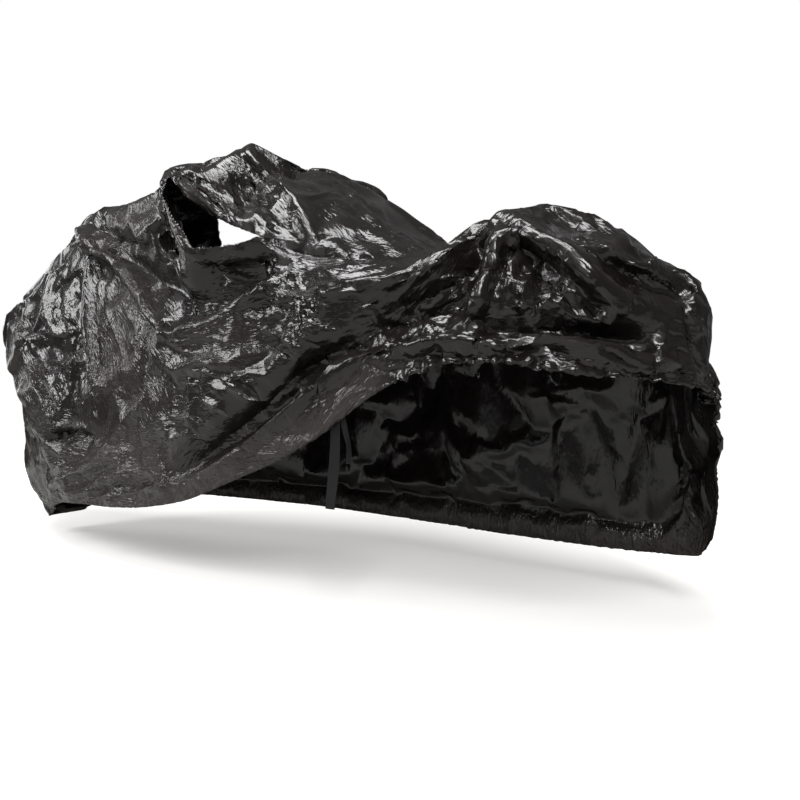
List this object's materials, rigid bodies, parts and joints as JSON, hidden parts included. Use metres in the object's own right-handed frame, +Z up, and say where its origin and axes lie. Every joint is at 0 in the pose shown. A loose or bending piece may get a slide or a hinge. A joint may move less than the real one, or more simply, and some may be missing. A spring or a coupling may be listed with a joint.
{
  "type": "bicycle cover",
  "caption": "Fitted cover of thin glossy film for a long load bicycle, draped and hollow, open below, with slits at the bar ends and loose tie ends under the near hem.",
  "frame": {"origin": "the point just under the top of the cover, above the middle of its length, where what it covers holds it up", "axes": "+X along the cover to its front, +Y to its far side, +Z up"},
  "size_m": [2.421, 0.6086, 1.1631],
  "materials": {
    "film": "thin black polyethylene film, glossy and sharply crumpled, with a matte turned hem",
    "webbing": "flat woven black polypropylene webbing"
  },
  "bodies": {
    "root": {"cover": "film", "tie_long": "webbing", "tie_short": "webbing"}
  },
  "joints": []
}
